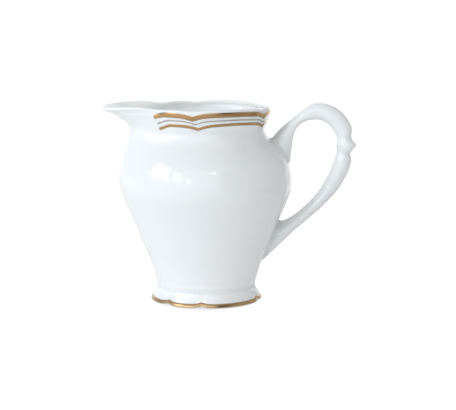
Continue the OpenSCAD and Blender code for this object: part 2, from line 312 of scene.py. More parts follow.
def skin(t, psi):
    """A point of the body's outer surface."""
    t, psi = np.broadcast_arrays(np.asarray(t, float), np.asarray(psi, float))
    row, s, g = along(OUTLINE, t), spout_share(psi, t), notch_share(t)
    n = notch(psi, RIM_NOTCHES, RIM_NOTCH_HALF, RIM_NOTCH_POWER)
    r = row[..., 0] + row[..., 2] * s - RIM_FOLD * n * g
    z = row[..., 1] + row[..., 3] * s + g * (wave(RIM_WAVE, psi) - RIM_DIP * n)
    a = np.radians(psi)
    return np.stack([r * np.cos(a), r * np.sin(a), z], -1)


def up_dir(t, psi):
    high = np.minimum(np.asarray(t, float) + SLIGHT_STEP, LAST)
    return unit(skin(high, psi) - skin(high - 2 * SLIGHT_STEP, psi))


def out_dir(t, psi):
    psi = np.asarray(psi, float)
    across = skin(t, psi + SLIGHT_TURN) - skin(t, psi - SLIGHT_TURN)
    return unit(np.cross(across, up_dir(t, psi)))


def wall_at(t, psi):
    """The wall's thickness, which thins to the lip and most at the spout's edge."""
    edge = LIP - (LIP - SPOUT_EDGE) * spout_share(psi, LAST)
    return WALL - (WALL - edge) * ease((np.asarray(t, float) - THIN_FROM) / (LAST - THIN_FROM))


def inside(t, psi):
    """A point of the body's inner surface."""
    return skin(t, psi) - wall_at(t, psi)[..., None] * out_dir(t, psi)


def step_at(z):
    """The t at which the outline has the height z."""
    z = np.asarray(z, float)
    return solve(lambda t: along(OUTLINE, t)[..., 1] - z, np.zeros_like(z), np.full_like(z, LAST))


def on_body(y, z, gap):
    """A point on the handle's side of the body, out from it by the gap."""
    radius = along(OUTLINE, step_at(z))[..., 0] + gap
    return np.stack([np.sqrt(radius**2 - y**2), y, z], -1)


# ---------- meshes ----------


def grid_faces(rings, around, closed_rings=False, cap_first=False, cap_last=False):
    """Quads between rings of points, each ring closed. A cap is a fan to one more point."""
    faces = []
    j = np.arange(around)
    k = (j + 1) % around
    for i in range(rings if closed_rings else rings - 1):
        a, b = i * around, ((i + 1) % rings) * around
        faces.extend(np.stack([a + j, a + k, b + k, b + j], -1).tolist())
    n = rings * around
    if cap_first:
        faces.extend(np.stack([k, j, np.full(around, n)], -1).tolist())
        n += 1
    if cap_last:
        b = (rings - 1) * around
        faces.extend(np.stack([b + j, b + k, np.full(around, n)], -1).tolist())
    return faces


def make_piece(name, points, faces, material, nodes, fields=None):
    """A smooth closed piece that rides on the body and stands for the CAD nodes.
    A field is one number at each point, which the material reads."""
    mesh = bpy.data.meshes.new(name)
    mesh.from_pydata((points * MM).tolist(), [], faces)
    mesh.update()
    tri = [(f[0], f[a], f[a + 1]) for f in faces for a in range(1, len(f) - 1)]
    p = points[np.array(tri)]
    volume = np.einsum("ij,ij->", p[:, 0], np.cross(p[:, 1], p[:, 2]))
    if volume < 0:
        mesh.flip_normals()
    mesh.polygons.foreach_set("use_smooth", [True] * len(mesh.polygons))
    for field, values in (fields or {}).items():
        layer = mesh.attributes.new(field, "FLOAT", "POINT")
        layer.data.foreach_set("value", np.asarray(values, np.float32))
    mesh.materials.append(material)
    piece = bpy.data.objects.new(name, mesh)
    bpy.context.scene.collection.objects.link(piece)
    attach(piece, BODY)
    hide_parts(*nodes)
    return piece


def stack(*parts):
    return np.concatenate([np.reshape(p, (-1, 3)) for p in parts])


def spaced(marks, step):
    """Even steps between marks, with every mark kept."""
    out = []
    for a, b in zip(marks[:-1], marks[1:]):
        out.extend(np.linspace(a, b, max(1, round((b - a) / step)), endpoint=False))
    return np.array(out)


def angles_with(centres, step):
    """Angles right round the jug, with every notch's centre among them."""
    marks = sorted([0.0, 180.0, *centres, *[360 - c for c in centres], 360.0])
    return spaced(marks, step)


def turns(count):
    """Angles round a section, in radians. 0 is its outer edge."""
    return 2 * math.pi * np.arange(count) / count


# ---------- materials ----------


class Nodes:
    """Short calls for a material's node tree."""

    def __init__(self, name):
        self.material = bpy.data.materials.new(name)
        self.material.use_nodes = True
        self.tree = self.material.node_tree
        self.shader = self.tree.nodes["Principled BSDF"]

    def plug(self, socket, value):
        if isinstance(value, bpy.types.NodeSocket):
            self.tree.links.new(value, socket)
        else:
            socket.default_value = value

    def add(self, kind, settings=None, **inputs):
        node = self.tree.nodes.new(kind)
        for key, value in (settings or {}).items():
            setattr(node, key, value)
        for key, value in inputs.items():
            self.plug(node.inputs[key.replace("_", " ")], value)
        return node

    def set(self, **inputs):
        for key, value in inputs.items():
            self.plug(self.shader.inputs[key.replace("_", " ")], value)

    def coords(self, scale=(1, 1, 1)):
        place = self.add("ShaderNodeTexCoord").outputs["Object"]
        return self.add("ShaderNodeMapping", Vector=place, Scale=scale).outputs["Vector"]

    def noise(self, scale, detail=3.0, stretch=(1, 1, 1), roughness=0.5):
        node = self.add("ShaderNodeTexNoise", Vector=self.coords(stretch), Scale=scale,
                        Detail=detail, Roughness=roughness)
        return node.outputs["Fac"]

    def ramp(self, value, low, high, to_low=0.0, to_high=1.0):
        node = self.add("ShaderNodeMapRange", {"clamp": True}, Value=value, From_Min=low,
                        From_Max=high, To_Min=to_low, To_Max=to_high)
        return node.outputs["Result"]

    def blend(self, share, a, b):
        node = self.add("ShaderNodeMix", {"data_type": "RGBA", "blend_type": "MIX"})
        # a colour mix has its two colours on its seventh and eighth sockets
        for socket, value in zip((node.inputs["Factor"], *node.inputs[6:8]), (share, a, b)):
            self.plug(socket, value)
        return node.outputs[2]

    def math(self, how, a, b):
        node = self.add("ShaderNodeMath", {"operation": how})
        for socket, value in zip(node.inputs, (a, b)):
            self.plug(socket, value)
        return node.outputs[0]

    def field(self, name):
        return self.add("ShaderNodeAttribute", {"attribute_name": name}).outputs["Fac"]

    def bump(self, *layers):
        """Layers of (height, depth in mm), one on top of the other."""
        normal = None
        for height, depth in layers:
            node = self.add("ShaderNodeBump", Height=height, Strength=1.0, Distance=depth * MM)
            if normal is not None:
                self.plug(node.inputs["Normal"], normal)
            normal = node.outputs["Normal"]
        self.set(Normal=normal)


def rgb(r, g, b):
    return (r, g, b, 1.0)


def glazed_porcelain():
    """White paste under clear glaze, painted whiter as painted light, and grey-green where glaze
    pools, which is partly painted shade.
    """
    m = Nodes("glazed_porcelain")
    cloud = m.ramp(m.noise(22, 2), 0.35, 0.65)
    paste = m.blend(cloud, rgb(0.872, 0.877, 0.882), rgb(0.885, 0.889, 0.893))
    # painted light: a whiter paste where the field is high
    paste = m.blend(m.field("inner"), paste, rgb(0.955, 0.96, 0.962))
    speck = m.ramp(m.noise(1500, 1), 0.72, 0.8)
    speckled = m.blend(m.math("MULTIPLY", speck, 0.05), paste, rgb(0.55, 0.52, 0.46))
    # pooled glaze and painted shade: a darker grey-green where the field is high
    pooled_and_shaded = m.blend(m.field("pool_and_shade"), speckled, rgb(0.52, 0.535, 0.48))
    m.set(Base_Color=pooled_and_shaded, Subsurface_Weight=0.4, Subsurface_Radius=(1.0, 0.92, 0.84),
          Subsurface_Scale=0.0022, IOR=1.5, Specular_IOR_Level=0.5,
          Roughness=m.ramp(m.noise(140, 2), 0.3, 0.7, 0.015, 0.045))
    m.bump((m.noise(38, 1), 0.05), (m.noise(260, 2), 0.0012))
    return m.material


def raw_porcelain():
    """The ring that is wiped clean of glaze, with wear."""
    m = Nodes("raw_porcelain")
    cloud = m.ramp(m.noise(120, 4), 0.35, 0.65)
    paste = m.blend(cloud, rgb(0.62, 0.59, 0.545), rgb(0.7, 0.675, 0.635))
    wear = m.ramp(m.noise(420, 3), 0.55, 0.72, 0.0, 0.35)
    m.set(Base_Color=m.blend(wear, paste, rgb(0.46, 0.43, 0.39)),
          Roughness=m.ramp(cloud, 0, 1, 0.62, 0.8), Specular_IOR_Level=0.35)
    m.bump((m.noise(2600, 4), 0.02), (m.noise(500, 2), 0.03))
    return m.material


def fired_metal(name, thin, full, low_rough, high_rough):
    """Brushed-on metal: streaks that run with the brush, thinner and duller at the edges."""
    m = Nodes(name)
    streak = m.ramp(m.noise(60, 4, stretch=(1, 1, 26), roughness=0.6), 0.3, 0.7)
    cloud = m.ramp(m.noise(130, 3), 0.3, 0.7)
    tone = m.blend(m.math("MULTIPLY", streak, cloud), thin, full)
    edge = m.math("MULTIPLY", m.field("edge"), m.ramp(m.noise(700, 3), 0.4, 0.65, 0.15, 0.8))
    m.set(Base_Color=m.blend(edge, tone, thin), Metallic=1.0,
          Roughness=m.ramp(streak, 0, 1, high_rough, low_rough))
    m.bump((m.noise(90, 3, stretch=(1, 1, 30)), 0.012), (m.noise(900, 2), 0.003))
    return m.material


PORCELAIN = glazed_porcelain()
RAW = raw_porcelain()
GOLD = fired_metal("fired_gold", rgb(0.43, 0.275, 0.135), rgb(0.54, 0.35, 0.18), 0.17, 0.28)
PLATINUM = fired_metal("fired_platinum", rgb(0.42, 0.4, 0.37), rgb(0.54, 0.52, 0.485), 0.2, 0.32)

# ---------- body ----------

AROUND = angles_with(RIM_NOTCHES, 1.15)
COVE_RISE = 8.0  # the cove between wall and floor starts this far above the floor
COVE_REACH = 11.0  # and ends this far in from the corner
FLOOR_DOME = 0.5
BASE_DOME = 0.9
BASE_DOME_SHARE = 0.8
LIP_STEPS, OUTER_RINGS, INNER_RINGS, COVE_STEPS = 15, 170, 96, 18
# how much pooled glaze and painted shade darken the rim's notches outside and inside, the cove and
# the floor
RIM_GATHER_AND_SHADE_HALF, RIM_GATHER_AND_SHADE_POWER = 3.2, 1.6
OUTER_POOL_AND_SHADE, INNER_POOL_AND_SHADE, COVE_POOL_AND_SHADE, FLOOR_POOL_AND_SHADE = 0.22, 0.12, 0.3, 0.12
WHITE_START, WHITE_RISE = 0.4, 4  # above the base the painted light fades out from and over these


def lip_rings():
    """The lip's round from the outer wall over to the inner one."""
    half = wall_at(LAST, AROUND)[:, None] / 2
    out, up, top = out_dir(LAST, AROUND), up_dir(LAST, AROUND), skin(LAST, AROUND)
    return [top - half * out + half * (math.cos(a) * out + math.sin(a) * up)
            for a in np.radians(np.linspace(0, 180, LIP_STEPS)[1:-1])]


def cove_rings(start, before, floor_z):
    """The wall turns into the floor in a wide cove."""
    slope = unit(start - before)
    corner = start + slope * ((floor_z - start[:, 2:]) / slope[:, 2:])
    end = corner * (1 - COVE_REACH / np.linalg.norm(corner[:, :2], axis=1, keepdims=True))
    end[:, 2] = floor_z
    return bent(start, corner, end, np.linspace(0, 1, COVE_STEPS)[1:])


def shrunk(ring, shares, height):
    """Copies of a ring drawn in to each share of its size, at the height for that share."""
    rings = []
    for share in shares:
        smaller = ring * share
        smaller[:, 2] = height(share)
        rings.append(smaller)
    return rings


def body_piece():
    n = len(AROUND)
    floor_z = BODY_BASE + WALL
    base = shrunk(skin(0.0, AROUND), (0.1, 0.35, 0.6, 0.78, 0.9, 0.985, 0.998),
                  lambda s: BODY_BASE + BASE_DOME * (1 - min(1.0, s / BASE_DOME_SHARE) ** 2))
    outer_t = np.concatenate([[0.0, 0.03], np.linspace(0, LAST, OUTER_RINGS)[1:]])
    outer = [skin(t, AROUND) for t in outer_t]
    lip = lip_rings()
    inner_t = np.linspace(LAST, step_at(floor_z + COVE_RISE), INNER_RINGS)
    inner = [inside(t, AROUND) for t in inner_t]
    cove = cove_rings(inner[-1], inner[-2], floor_z)
    flat = shrunk(cove[-1], (0.8, 0.55, 0.3, 0.1), lambda s: floor_z + FLOOR_DOME * (1 - s**2))
    rings = base + outer + lip + inner + cove + flat
    points = stack(*rings, [0, 0, BODY_BASE + BASE_DOME], [0, 0, floor_z + FLOOR_DOME])
    faces = grid_faces(len(rings), n, cap_first=True, cap_last=True)
    # glaze gathers in the rim's notches and where the wall meets the floor; the darker tone there
    # is partly painted shade
    gather_and_shade = notch(AROUND, RIM_NOTCHES, RIM_GATHER_AND_SHADE_HALF, RIM_GATHER_AND_SHADE_POWER)
    pool_and_shade = ([np.zeros(n)] * len(base) + [OUTER_POOL_AND_SHADE * gather_and_shade * notch_share(t) for t in outer_t]
            + [np.zeros(n)] * len(lip) + [INNER_POOL_AND_SHADE * gather_and_shade * notch_share(t) for t in inner_t]
            + [np.full(n, COVE_POOL_AND_SHADE)] * len(cove) + [np.full(n, FLOOR_POOL_AND_SHADE)] * len(flat)
            + [np.zeros(2)])
    # and the paste is painted whiter inside, on the lip and under the base up to the waist: painted
    # light
    low = [1 - float(ease((along(OUTLINE, t)[1] - BODY_BASE - WHITE_START) / WHITE_RISE))
           for t in outer_t]
    painted_light = [np.ones(len(base) * n), np.repeat(low, n), np.linspace(0.1, 1, len(lip)).repeat(n),
             np.ones((len(inner) + len(cove) + len(flat)) * n + 2)]
    make_piece("cast_body", points, faces, PORCELAIN, ["body"],
               {"pool_and_shade": np.concatenate(pool_and_shade), "inner": np.concatenate(painted_light)})


body_piece()

# ---------- foot ----------

FOOT_AROUND = angles_with(FOOT_NOTCHES, 1.25)
FOOT_RINGS, FOOT_TOP_RINGS = 127, 5
RAW_FROM, RAW_TO = 5.6, 9.3  # rows of the profile between which the ring is bare
WHITE_FROM, WHITE_OVER = 17.6, 1.6  # painted light starts at this row and grows over so many rows
# pooled glaze and painted shade in the foot's folds
FOOT_GATHER_AND_SHADE_HALF, FOOT_GATHER_AND_SHADE_POWER, FOOT_POOL_AND_SHADE = 2.6, 1.6, 0.25


def foot_skin(t, psi):
    """A point of the foot's surface."""
    t, psi = np.broadcast_arrays(np.asarray(t, float), np.asarray(psi, float))
    row = along(FOOT_PROFILE, t)
    n = notch(psi, FOOT_NOTCHES, FOOT_NOTCH_HALF, FOOT_NOTCH_POWER)
    r = row[..., 0] - FOOT_FOLD * row[..., 2] * n
    z = row[..., 1] + FOOT_RISE * row[..., 3] * n
    a = np.radians(psi)
    return np.stack([r * np.cos(a), r * np.sin(a), z], -1)


def foot_out(t, psi):
    t, psi = np.asarray(t), np.asarray(psi)
    across = foot_skin(t, psi + SLIGHT_TURN) - foot_skin(t, psi - SLIGHT_TURN)
    return unit(np.cross(across, foot_skin(t + SLIGHT_STEP, psi) - foot_skin(t - SLIGHT_STEP, psi)))


def foot_piece():
    n = len(FOOT_AROUND)
    steps = np.linspace(0, FOOT_LAST, FOOT_RINGS)
    rings = [foot_skin(t, FOOT_AROUND) for t in steps]
    top = [mix(rings[-1], rings[0], share) for share in np.linspace(0.02, 0.98, FOOT_TOP_RINGS)]
    faces = grid_faces(len(rings) + len(top), n, closed_rings=True)
    # the folds are darkened by pooled glaze and painted shade, and the top of the foot is painted
    # whiter: painted light
    gather_and_shade = notch(FOOT_AROUND, FOOT_NOTCHES, FOOT_GATHER_AND_SHADE_HALF, FOOT_GATHER_AND_SHADE_POWER)
    pool_and_shade = [FOOT_POOL_AND_SHADE * gather_and_shade * along(FOOT_PROFILE, t)[2] for t in steps]
    pool_and_shade += [np.zeros(n)] * len(top)
    painted_light = np.append(ease((steps - WHITE_FROM) / WHITE_OVER), np.ones(len(top))).repeat(n)
    piece = make_piece("moulded_foot", stack(*rings, *top), faces, PORCELAIN,
                       ["foot"], {"pool_and_shade": np.concatenate(pool_and_shade), "inner": painted_light})
    # the ring that the jug was fired on is wiped clean of glaze
    piece.data.materials.append(RAW)
    bare = (steps[:-1] > RAW_FROM) & (steps[:-1] < RAW_TO)
    marks = np.concatenate([np.repeat(bare, n), np.zeros(n * (len(top) + 1), bool)])
    piece.data.polygons.foreach_set("material_index", marks.astype(np.int32))


foot_piece()

# ---------- seam between foot and body ----------

SEAM_BELOW, SEAM_ABOVE = 1.1, 1.3  # how far the collar runs below the waist and above the base
SEAM_MIDDLE, SEAM_HALF = 8.4, 1.4
SEAM_SINK, SEAM_LIFT = 0.01, 0.03
FLARE_ROW = 17.0  # the foot's profile rises steadily from this row to the waist
# depth in from the waist, and height: the section over the top, down the cove, and back under
SEAM_OVER = ((1.2, BODY_BASE + 0.6), (3.8, BODY_BASE + 0.7), (8.2, BODY_BASE + 0.55))
SEAM_COVE = ((8.4, BODY_BASE + 0.27), (4.75, BODY_BASE + 0.1), (4.25, 5.9))
SEAM_UNDER = ((3.9, 6.1), (3.4, WAIST_H - 1.0), (1.2, WAIST_H - 0.9))
COVE_SKIN = 0.03
COLLAR_RINGS, SEAM_COVE_STEPS = 15, 14


def collar_ring(z):
    """A ring of the collar, which just covers the line where foot and body meet."""
    if z <= WAIST_H:
        t = solve(lambda s: along(FOOT_PROFILE, s)[..., 1] - z,
                  np.full_like(FOOT_AROUND, FLARE_ROW), np.full_like(FOOT_AROUND, FOOT_LAST))
        ring = foot_skin(t, FOOT_AROUND)
    else:
        t = step_at(np.full_like(FOOT_AROUND, max(z, BODY_BASE)))
        ring = skin(t, FOOT_AROUND)
        ring[:, 2] = z
    a = np.radians(FOOT_AROUND)
    lift = SEAM_LIFT * ease(1 - abs((z - SEAM_MIDDLE) / SEAM_HALF)) - SEAM_SINK
    return ring + lift * np.stack([np.cos(a), np.sin(a), 0 * a], -1)


def waist_joint():
    """The sponged seam between foot and body: a collar outside and a cove under the floor."""
    a = np.radians(FOOT_AROUND)

    def ring(r, z):
        return np.stack([r * np.cos(a), r * np.sin(a), np.full_like(a, z)], -1)

    outside = [collar_ring(z) for z in
               np.linspace(WAIST_H - SEAM_BELOW, BODY_BASE + SEAM_ABOVE, COLLAR_RINGS)]
    over, under = ([ring(WAIST_R - depth, z) for depth, z in rows]
                   for rows in (SEAM_OVER, SEAM_UNDER))
    end, corner, start = (np.array([WAIST_R - depth, z]) for depth, z in SEAM_COVE)
    cove = [ring(r - COVE_SKIN, z - COVE_SKIN)
            for r, z in bent(start, corner, end, np.linspace(0, 1, SEAM_COVE_STEPS))]
    rings = outside + over + cove[::-1] + under
    faces = grid_faces(len(rings), len(FOOT_AROUND), closed_rings=True)
    # painted light: the whole seam is painted whiter
    painted_light = np.ones(len(rings) * len(FOOT_AROUND))
    make_piece("waist_seam", stack(*rings), faces, PORCELAIN, ["foot_slip_joint"],
               {"inner": painted_light})


waist_joint()

# ---------- handle ----------

ROUND = 72
BOW_RINGS = 420
ROOT_SINK = -0.6  # the handle's two ends run this far into the wall
# how much pooled glaze and painted shade darken the knuckle's necks and the two roots, and over how
# many rows
NECK_POOL_AND_SHADE, NECK_POOL_AND_SHADE_ROWS = 0.12, 0.5
UPPER_POOL_AND_SHADE, UPPER_POOL_AND_SHADE_ROWS = 0.7, 4.4
LOWER_POOL_AND_SHADE, LOWER_POOL_AND_SHADE_ROWS = 0.5, 5
FACET_POOL_AND_SHADE = 0.25  # the share of the upper root's pooled glaze and painted shade that reaches its inner edge
# rows over which the painted light inside the bow builds up, where it ends, and over how many
BOW_WHITE_IN, BOW_WHITE_END, BOW_WHITE_OUT = 4, 19, 5


def handle_row(t):
    scale = np.array([HANDLE_REACH, HANDLE_H, HANDLE_REACH, HANDLE_H, HANDLE_W])
    return along(HANDLE_ROWS, t) * scale


def handle_ring(t, count=ROUND):
    """A section of the handle: rounded, or keeled with a softened ridge."""
    r = handle_row(t)
    a = turns(count)
    c, s = np.cos(a), np.sin(a)
    keel, flat, lean = along(HANDLE_SIDE, t)
    crest = np.hypot(1, RIDGE_ROUND)
    ridge = (crest - np.hypot(c, RIDGE_ROUND)) / (crest - RIDGE_ROUND)
    side = mix(np.abs(s) ** flat, ridge, keel) * (1 - lean * (1 + c) / 2)
    x = (r[0] + r[2]) / 2 + c * (r[0] - r[2]) / 2
    z = (r[1] + r[3]) / 2 + c * (r[1] - r[3]) / 2
    return np.stack([x, r[4] * np.sign(s) * side, z], -1)


def root_ring(t, size, gap, count=ROUND):
    """The outline of a root on the body's wall."""
    r = handle_row(t)
    a = turns(count)
    z = (r[1] + r[3]) / 2 + size * np.cos(a) * (r[1] - r[3]) / 2
    return on_body(size * r[4] * np.sin(a), z, gap)


def handle_pool_and_shade(t):
    """Pooled glaze and painted shade in the two necks of the knuckle, and beside the body at both
    roots.
    """
    neck = max(math.exp(-(((t - row) / NECK_POOL_AND_SHADE_ROWS) ** 2)) for row in KNUCKLE_NECKS)
    outer_share = (1 + np.cos(turns(ROUND))) / 2
    upper = UPPER_POOL_AND_SHADE * (1 - float(ease(t / UPPER_POOL_AND_SHADE_ROWS)))
    lower = LOWER_POOL_AND_SHADE * float(ease((t - HANDLE_END + LOWER_POOL_AND_SHADE_ROWS) / LOWER_POOL_AND_SHADE_ROWS))
    return (NECK_POOL_AND_SHADE * neck + upper * mix(FACET_POOL_AND_SHADE, 1.0, ease(outer_share * 2.4 - 1.3))
            + lower * ease(1.15 - 1.8 * outer_share))


def handle_painted_light(t):
    """Painted light: the paste is painted whiter along the inside of the bow."""
    inner_share = (1 - np.cos(turns(ROUND))) / 2
    length_share = ease(t / BOW_WHITE_IN) * ease((BOW_WHITE_END - t) / BOW_WHITE_OUT)
    return float(length_share) * ease(inner_share * 1.3)


def handle_piece():
    steps = np.linspace(0, HANDLE_END, BOW_RINGS)[1:-1]
    upper, lower = ([root_ring(row, 0.5, ROOT_SINK), root_ring(row, 0.97, ROOT_SINK),
                     root_ring(row, 1.0, 0.0)] for row in (0, HANDLE_END))
    rings = upper + [handle_ring(t) for t in steps] + lower[::-1]
    ends = [np.mean(upper[0], axis=0), np.mean(lower[0], axis=0)]
    faces = grid_faces(len(rings), ROUND, cap_first=True, cap_last=True)
    hidden = np.zeros(3 * ROUND)
    # pooled glaze with painted shade at the necks and roots, and painted light inside the bow
    pool_and_shade, painted_light = (np.concatenate([hidden] + [share(t) for t in steps] + [hidden, np.zeros(2)])
                   for share in (handle_pool_and_shade, handle_painted_light))
    make_piece("scroll_handle", stack(*rings, *ends), faces, PORCELAIN,
               ["handle"], {"pool_and_shade": pool_and_shade, "inner": painted_light})


handle_piece()

# ---------- slip at the handle's roots ----------

FILLET_ROUND = 96
FILLET_STEPS = 15
FILLET_SKIN = 0.02
# how dark the pooled glaze and painted shade get in a root's sharper corner
FILLET_POOL_AND_SHADE = 0.7


def handle_middle(t, into, ends):
    r = handle_row(t + into * ends)
    return np.array([(r[0] + r[2]) / 2, 0.0, (r[1] + r[3]) / 2])


def up_the_handle(t, into, climb, ends):
    """Points on the handle's side a little way up it; climb is the share of that way at its
    outer edge."""
    steps = t + ends * mix(into, into * climb, (1 + np.cos(turns(FILLET_ROUND))) / 2)
    return np.array([handle_ring(float(step), FILLET_ROUND)[j] for j, step in enumerate(steps)])


def root_fillet(name, node, t, into, climb, spread, ends):
    """Slip smoothed with a wet brush: a concave fillet from the handle's side on to the body.
    Spread is how far it runs on to the body at the handle's inner and outer edge. Ends is 1 at
    the handle's first row and -1 at its last."""
    a = turns(FILLET_ROUND)
    outer_share = (1 + np.cos(a)) / 2
    on_handle = up_the_handle(t, into, climb, ends)
    corner = root_ring(t, 1.0, 0.0, FILLET_ROUND)
    r = handle_row(t)
    centre = on_body(np.array(0.0), np.array((r[1] + r[3]) / 2), 0.0)
    away = unit(corner - centre)
    on_wall = corner + away * mix(spread[0], spread[1], outer_share)[:, None]
    radius = along(OUTLINE, step_at(on_wall[:, 2]))[..., 0]
    on_wall[:, 0] = np.sqrt(np.maximum(radius**2 - on_wall[:, 1] ** 2, 1.0))
    normal = unit(on_wall * np.array([1.0, 1.0, 0.0]))
    off_handle = unit(on_handle - handle_middle(t, into, ends))
    start = on_handle + FILLET_SKIN * off_handle
    end = on_wall + FILLET_SKIN * normal
    rings = bent(start, corner, end, np.linspace(0, 1, FILLET_STEPS))
    # the back of the section is sunk in the wall, under the corner and in the handle
    rings += [end - 0.5 * normal, corner - 0.9 * normal - 0.3 * away, on_handle - 0.5 * off_handle]
    faces = grid_faces(len(rings), FILLET_ROUND, closed_rings=True)
    # pooled glaze and painted shade are darkest in the sharper corner
    corner_share = FILLET_POOL_AND_SHADE * ((1 + ends * np.cos(a)) / 2) ** 3
    depth = np.sin(np.linspace(0, math.pi, FILLET_STEPS))
    pool_and_shade = np.concatenate([corner_share * d for d in depth] + [0 * a] * 3)
    make_piece(name, stack(*rings), faces, PORCELAIN, [node], {"pool_and_shade": pool_and_shade})


root_fillet("upper_root_fillet", "upper_handle_slip_joint", 0.0, 0.4, 0.7, (2.2, 1.0), 1)
root_fillet("lower_root_fillet", "lower_handle_slip_joint", float(HANDLE_END), 0.8, 0.12,
            (1.2, 0.8), -1)

# ---------- painted lines ----------

LINE_DIP = 1.7
LINE_NOTCH_HALF = 6.8
LINE_NOTCH_POWER = 1.3
LINE_WAVE = np.array([
    (0, -0.1), (24, 0.05), (63, 0.6), (118, 0.42), (150, 0.75), (180, 0.75),
])
LOWEST_LINE_ROW = 9.0
LINE_STEP = 0.9
LINE_END_ROUND = 1.1
METAL_CLEARANCE = 0.004
METAL_ROOT = 0.15  # the back of a line is sunk this far
BRUSH_SHAKE = 0.03
BRUSH_WAVES = (3, 5, 8, 13, 21)  # waves to a turn
LINE_RISE_FROM, LINE_RISE_OVER, LINE_FALL_OVER = 100, 45, 14  # degrees


def line_steps(psi, z, dips, end, fall, rise):
    """The t at which a line of height z runs. It dips at the notches, rises on the handle's
    side, and falls away at its end."""
    a = folded(psi)
    target = z + wave(LINE_WAVE, psi)
    target = target - LINE_DIP * notch(psi, dips, LINE_NOTCH_HALF, LINE_NOTCH_POWER)
    target = target + rise * ease((LINE_RISE_FROM - a) / LINE_RISE_OVER)
    target = target - fall * ease(1 + (a - end) / LINE_FALL_OVER)
    return solve(lambda t: skin(t, psi)[..., 2] - target,
                 np.full_like(psi, LOWEST_LINE_ROW), np.full_like(psi, LAST))


def wander(psi, seed, size):
    """The small unsteadiness of a line drawn with a brush."""
    rng = np.random.default_rng(seed)
    total = np.zeros_like(psi)
    for k in BRUSH_WAVES:
        height = rng.normal() / math.sqrt(k)
        total += height * np.sin(np.radians(psi * k) + rng.uniform(0, 2 * math.pi))
    return size * total


def metal_lift(share):
    """How far the metal stands off the glaze across a line's width."""
    return METAL * (1 - abs(2 * share - 1) ** 6) + METAL_CLEARANCE


def painted_line(name, node, material, z, height, dips, end, fall, rise, seed, sections):
    """A thin skin of metal on the body, rounded off at its edges and at its two ends."""
    half = [c for c in dips if c < end]
    marks = [-end] + [-c for c in half[::-1]] + [0.0] + half + [end]
    psi = np.append(spaced(marks, LINE_STEP), end)
    from_end = np.clip((end - np.abs(psi)) / LINE_END_ROUND, 0, 1)
    taper = np.sqrt(np.clip(1 - (1 - from_end) ** 2, 0.02, 1))
    low = z - height / 2 * taper + wander(psi, seed, BRUSH_SHAKE)
    high = z + height / 2 * taper + wander(psi, seed + 1, BRUSH_SHAKE)
    section, edge = [], []
    for share in np.arange(sections + 1) / sections:
        t = line_steps(psi, mix(low, high, share), dips, end, fall, rise)
        section.append(skin(t, psi) + metal_lift(share) * out_dir(t, psi))
        edge.append(np.full(len(psi), abs(2 * share - 1) ** 3))
    for share in (1.0, 0.0):
        t = line_steps(psi, mix(low, high, share), dips, end, fall, rise)
        section.append(skin(t, psi) - METAL_ROOT * out_dir(t, psi))
        edge.append(np.ones(len(psi)))
    section = np.stack(section, 1)  # along the line, round the section
    points = stack(section, section[0].mean(axis=0), section[-1].mean(axis=0))
    faces = grid_faces(section.shape[0], section.shape[1], cap_first=True, cap_last=True)
    values = np.concatenate([np.stack(edge, 1).ravel(), [1, 1]])
    make_piece(name, points, faces, material, [node], {"edge": values})


# height and width, dips, end, fall at the end, rise at the handle, seed, steps across
painted_line("rim_gold_band_paint", "rim_gold_band", GOLD, 97.2 * HS, 2.5,
             (24.5, 101.0, 142.0), 139.3, 0.4, 0.1, 11, 12)
painted_line("rim_platinum_paint", "rim_platinum_line", PLATINUM, 94.5 * HS, 0.7,
             (24.0, 98.8, 142.0), 137.0, 1.4, 0.1, 23, 6)
painted_line("rim_lower_gold_paint", "rim_lower_gold_line", GOLD, 92 * HS, 1.5,
             (23.0, 96.4, 142.0), 135.8, 1.6, 0.5, 37, 8)

FOOT_BAND_ROWS = (12.0, 16.0)
FOOT_BAND_BACK = (16.0, 14.1, 12.0)
FOOT_BAND_SECTIONS = 16
FOOT_BAND_SEEDS = (51, 52)  # for its lower and its upper half


def foot_band():
    psi = FOOT_AROUND
    rings, edge = [], []
    for share in np.arange(FOOT_BAND_SECTIONS + 1) / FOOT_BAND_SECTIONS:
        seed = FOOT_BAND_SEEDS[int(share >= 0.5)]
        t = mix(*FOOT_BAND_ROWS, share) + wander(psi, seed, BRUSH_SHAKE)
        rings.append(foot_skin(t, psi) + metal_lift(share) * foot_out(t, psi))
        edge.append(np.full(len(psi), abs(2 * share - 1) ** 3))
    for row in FOOT_BAND_BACK:
        t = np.full_like(psi, row)
        rings.append(foot_skin(t, psi) - METAL_ROOT * foot_out(t, psi))
        edge.append(np.ones(len(psi)))
    faces = grid_faces(len(rings), len(psi), closed_rings=True)
    make_piece("foot_gold_paint", stack(*rings), faces, GOLD, ["foot_gold_band"],
               {"edge": np.concatenate(edge)})


foot_band()

# ---------- stage, light and camera; metres from here on ----------

FLOOR_SIZE = 40.0


def staged(name, mesh):
    obj = bpy.data.objects.new(name, mesh)
    bpy.context.scene.collection.objects.link(obj)
    return obj


def sheet(name, z, material):
    """A wide level sheet."""
    mesh = bpy.data.meshes.new(name)
    h = FLOOR_SIZE / 2
    mesh.from_pydata([(-h, -h, z), (h, -h, z), (h, h, z), (-h, h, z)], [], [(0, 1, 2, 3)])
    mesh.materials.append(material)
    return staged(name, mesh)


def emission(name, color, strength):
    mat = bpy.data.materials.new(name)
    mat.use_nodes = True
    tree = mat.node_tree
    tree.nodes.clear()
    glow = tree.nodes.new("ShaderNodeEmission")
    glow.inputs["Color"].default_value = color
    glow.inputs["Strength"].default_value = strength
    out = tree.nodes.new("ShaderNodeOutputMaterial")
    tree.links.new(glow.outputs[0], out.inputs["Surface"])
    return mat


